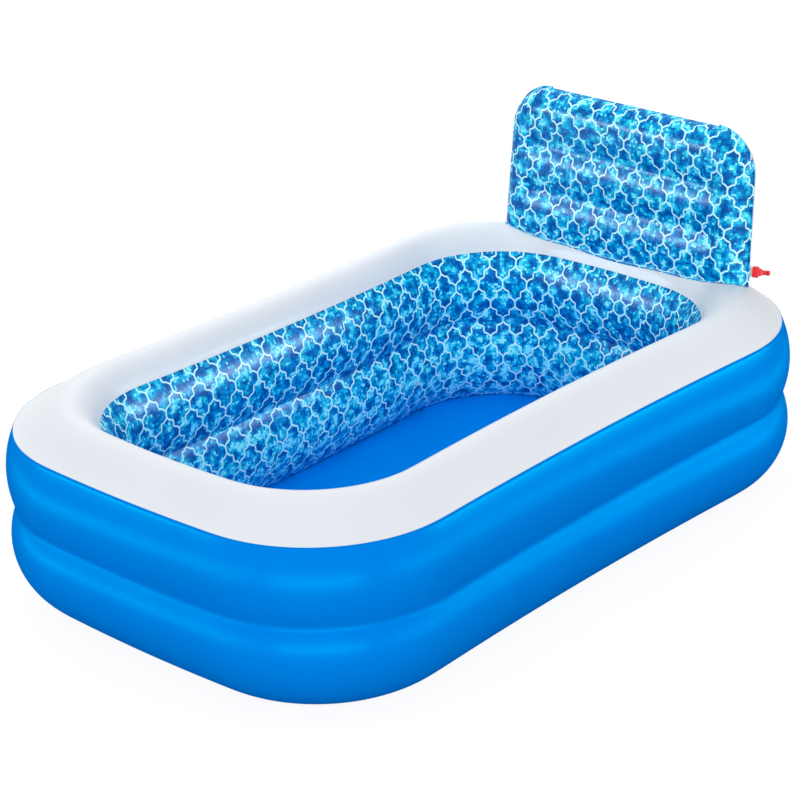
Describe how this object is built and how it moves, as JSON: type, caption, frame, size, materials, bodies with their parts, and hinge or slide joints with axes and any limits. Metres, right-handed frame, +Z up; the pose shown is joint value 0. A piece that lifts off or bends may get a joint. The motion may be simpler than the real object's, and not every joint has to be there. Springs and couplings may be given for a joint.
{
  "type": "inflatable pool",
  "caption": "Inflatable family pool: stacked air rings round a thin welded floor, a printed backrest panel with a spray hose inlet, capped air valves and a floor drain.",
  "frame": {"origin": "on the ground, under the middle of the pool", "axes": "+Z up, +X across the short side, +Y along the long side towards the backrest panel"},
  "size_m": [1.5236, 2.4098, 1.0602],
  "materials": {
    "blue_film": "gloss",
    "white_film": "gloss",
    "printed_film": "gloss",
    "clear_film": "satin",
    "clear_vinyl": "satin",
    "white_plastic": "satin",
    "red_plastic": "gloss",
    "black_rubber": "matte"
  },
  "bodies": {
    "pool": {"chamber_divider": "clear_film", "drain_flange": "clear_vinyl", "floor_sheet": "blue_film", "inlet_boss": "white_plastic", "inner_wall_sheet": "printed_film", "lower_ring_valve_flange": "clear_vinyl", "outer_wall_sheet": "blue_film", "panel_back_skin": "white_film", "panel_front_skin": "printed_film", "panel_valve_flange": "clear_vinyl", "panel_web_lower": "clear_film", "panel_web_upper": "clear_film", "spray_tube": "clear_vinyl", "top_sheet": "white_film", "upper_ring_valve_flange": "clear_vinyl"},
    "drain_plug": {"drain_plug": "clear_vinyl"},
    "hose_connector": {"hose_tail": "red_plastic", "inlet_washer": "black_rubber", "tail_seal": "black_rubber"},
    "coupling_nut": {"coupling_nut": "red_plastic"},
    "lower_ring_valve_stem": {"lower_ring_valve_stem": "clear_vinyl"},
    "lower_ring_valve_cap": {"lower_ring_valve_cap": "clear_vinyl"},
    "lower_ring_valve_flap": {"lower_ring_valve_flap": "clear_vinyl"},
    "upper_ring_valve_stem": {"upper_ring_valve_stem": "clear_vinyl"},
    "upper_ring_valve_cap": {"upper_ring_valve_cap": "clear_vinyl"},
    "upper_ring_valve_flap": {"upper_ring_valve_flap": "clear_vinyl"},
    "panel_valve_stem": {"panel_valve_stem": "clear_vinyl"},
    "panel_valve_cap": {"panel_valve_cap": "clear_vinyl"},
    "panel_valve_flap": {"panel_valve_flap": "clear_vinyl"}
  },
  "joints": [
    {"name": "lower_ring_valve_stem_pull", "type": "slide", "parent": "pool", "child": "lower_ring_valve_stem", "axis": [-0.977, -0.0119, -0.2129], "range_m": [0, 0.01]},
    {"name": "lower_ring_valve_cap_swing", "type": "hinge", "parent": "lower_ring_valve_stem", "child": "lower_ring_valve_cap", "pos_m": [-0.74758, 0.29992, 0.15855], "axis": [-0.0122, 0.9999, 0], "range_deg": [0, 150]},
    {"name": "lower_ring_valve_flap_swing", "type": "hinge", "parent": "lower_ring_valve_stem", "child": "lower_ring_valve_flap", "pos_m": [-0.72754, 0.30017, 0.15678], "axis": [0.0122, -0.9999, 0], "range_deg": [0, 45]},
    {"name": "upper_ring_valve_stem_pull", "type": "slide", "parent": "pool", "child": "upper_ring_valve_stem", "axis": [-0.9997, -0.0122, 0.0212], "range_m": [0, 0.01]},
    {"name": "upper_ring_valve_cap_swing", "type": "hinge", "parent": "upper_ring_valve_stem", "child": "upper_ring_valve_cap", "pos_m": [-0.74932, 0.29996, 0.4166], "axis": [-0.0122, 0.9999, 0], "range_deg": [0, 150]},
    {"name": "upper_ring_valve_flap_swing", "type": "hinge", "parent": "upper_ring_valve_stem", "child": "upper_ring_valve_flap", "pos_m": [-0.73025, 0.30019, 0.41019], "axis": [0.0122, -0.9999, 0], "range_deg": [0, 45]},
    {"name": "panel_valve_stem_pull", "type": "slide", "parent": "pool", "child": "panel_valve_stem", "axis": [0, 0.999, -0.0453], "range_m": [0, 0.01]},
    {"name": "panel_valve_cap_swing", "type": "hinge", "parent": "panel_valve_stem", "child": "panel_valve_cap", "pos_m": [-0.20019, 1.11479, 0.65645], "axis": [1, 0, 0], "range_deg": [0, 150]},
    {"name": "panel_valve_flap_swing", "type": "hinge", "parent": "panel_valve_stem", "child": "panel_valve_flap", "pos_m": [-0.20019, 1.09534, 0.65133], "axis": [-1, 0, 0], "range_deg": [0, 45]},
    {"name": "drain_plug_swing", "type": "hinge", "parent": "pool", "child": "drain_plug", "pos_m": [0.34, -0.576, 0.0089], "axis": [-1, 0, 0], "range_deg": [0, 150]},
    {"name": "hose_connector_draw", "type": "slide", "parent": "pool", "child": "hose_connector", "axis": [0.866, 0.4981, -0.0436], "range_m": [0, 0.01088]},
    {"name": "coupling_nut_spin", "type": "hinge", "parent": "hose_connector", "child": "coupling_nut", "pos_m": [0.46953, 1.08052, 0.60711], "axis": [0.866, 0.4981, -0.0436], "range_deg": [0, 2160]}
  ],
  "couplings": [
    {"joint": "hose_connector_draw", "follows": "coupling_nut_spin", "m_per_rad": 0.00028871}
  ]
}
